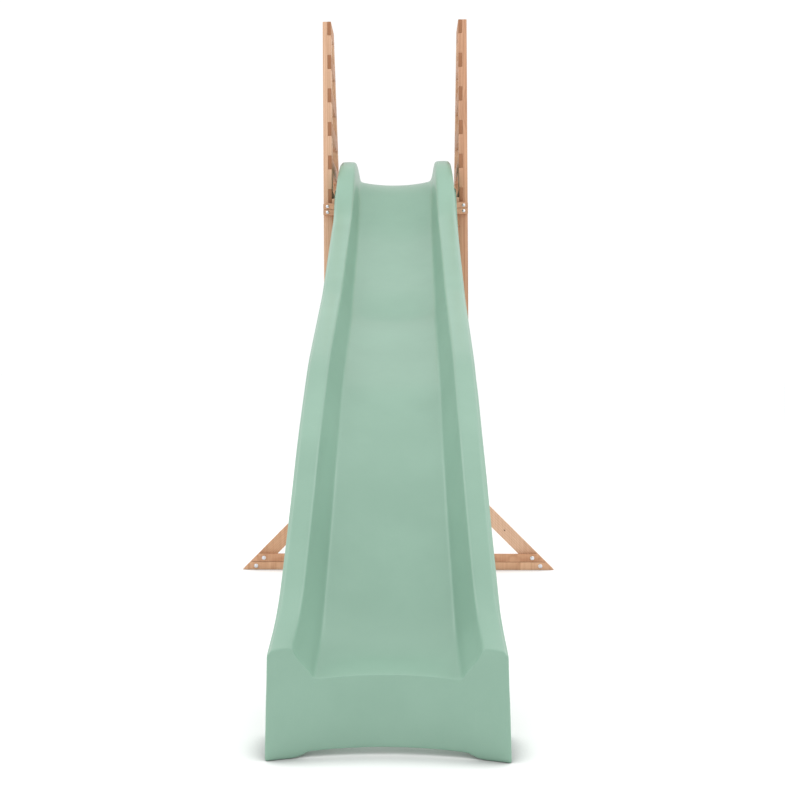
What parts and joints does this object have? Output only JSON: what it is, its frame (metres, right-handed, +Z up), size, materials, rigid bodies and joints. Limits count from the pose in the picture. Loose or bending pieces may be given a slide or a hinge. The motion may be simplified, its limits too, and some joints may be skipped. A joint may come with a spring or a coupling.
{
  "type": "wave slide",
  "caption": "Free-standing garden wave slide: moulded one-piece chute on a timber A-frame tower with deck, ladder, guard boards and braced base beam.",
  "frame": {"origin": "middle of the footprint's bounding rectangle, on the ground", "axes": "+Z up, +Y from the slide's exit towards the ladder, +X to the right seen from the exit"},
  "size_m": [1.29, 3.8346, 2.285],
  "materials": {
    "slide_plastic": "smooth moulded polyethylene, satin gloss",
    "frame_timber": "planed softwood, clear oiled",
    "facing_timber": "planed softwood, clear oiled",
    "board_timber": "planed softwood, clear oiled",
    "zinc_steel": "bright zinc plated",
    "screw_steel": "dull zinc plated"
  },
  "bodies": {
    "root": {"base_bolts": "zinc_steel", "base_nuts": "zinc_steel", "base_strip_lower": "facing_timber", "base_strip_upper": "facing_timber", "base_washers": "zinc_steel", "beam_screws": "screw_steel", "brace_left": "facing_timber", "brace_right": "facing_timber", "brace_screws": "screw_steel", "crossboard_bolts": "zinc_steel", "crossboard_lower": "facing_timber", "crossboard_nuts": "zinc_steel", "crossboard_upper": "facing_timber", "crossboard_washers": "zinc_steel", "deck_board_1": "board_timber", "deck_board_2": "board_timber", "deck_board_3": "board_timber", "deck_board_4": "board_timber", "deck_board_5": "board_timber", "deck_board_6": "board_timber", "deck_screws": "screw_steel", "foot_tie_left": "frame_timber", "foot_tie_right": "frame_timber", "front_post_left": "frame_timber", "front_post_right": "frame_timber", "guard_board_left_1": "board_timber", "guard_board_left_2": "board_timber", "guard_board_left_3": "board_timber", "guard_board_left_4": "board_timber", "guard_board_left_5": "board_timber", "guard_board_left_6": "board_timber", "guard_board_right_1": "board_timber", "guard_board_right_2": "board_timber", "guard_board_right_3": "board_timber", "guard_board_right_4": "board_timber", "guard_board_right_5": "board_timber", "guard_board_right_6": "board_timber", "guard_screws": "screw_steel", "ladder_tread_1": "board_timber", "ladder_tread_2": "board_timber", "ladder_tread_3": "board_timber", "ladder_tread_4": "board_timber", "ladder_tread_5": "board_timber", "platform_rail_left": "frame_timber", "platform_rail_right": "frame_timber", "rail_screws": "screw_steel", "rear_base_rail": "frame_timber", "rear_crossboard": "facing_timber", "rear_leg_left": "frame_timber", "rear_leg_right": "frame_timber", "slide_body": "slide_plastic", "slide_screws": "screw_steel", "tie_screws": "screw_steel", "tread_screws": "screw_steel"}
  },
  "joints": []
}
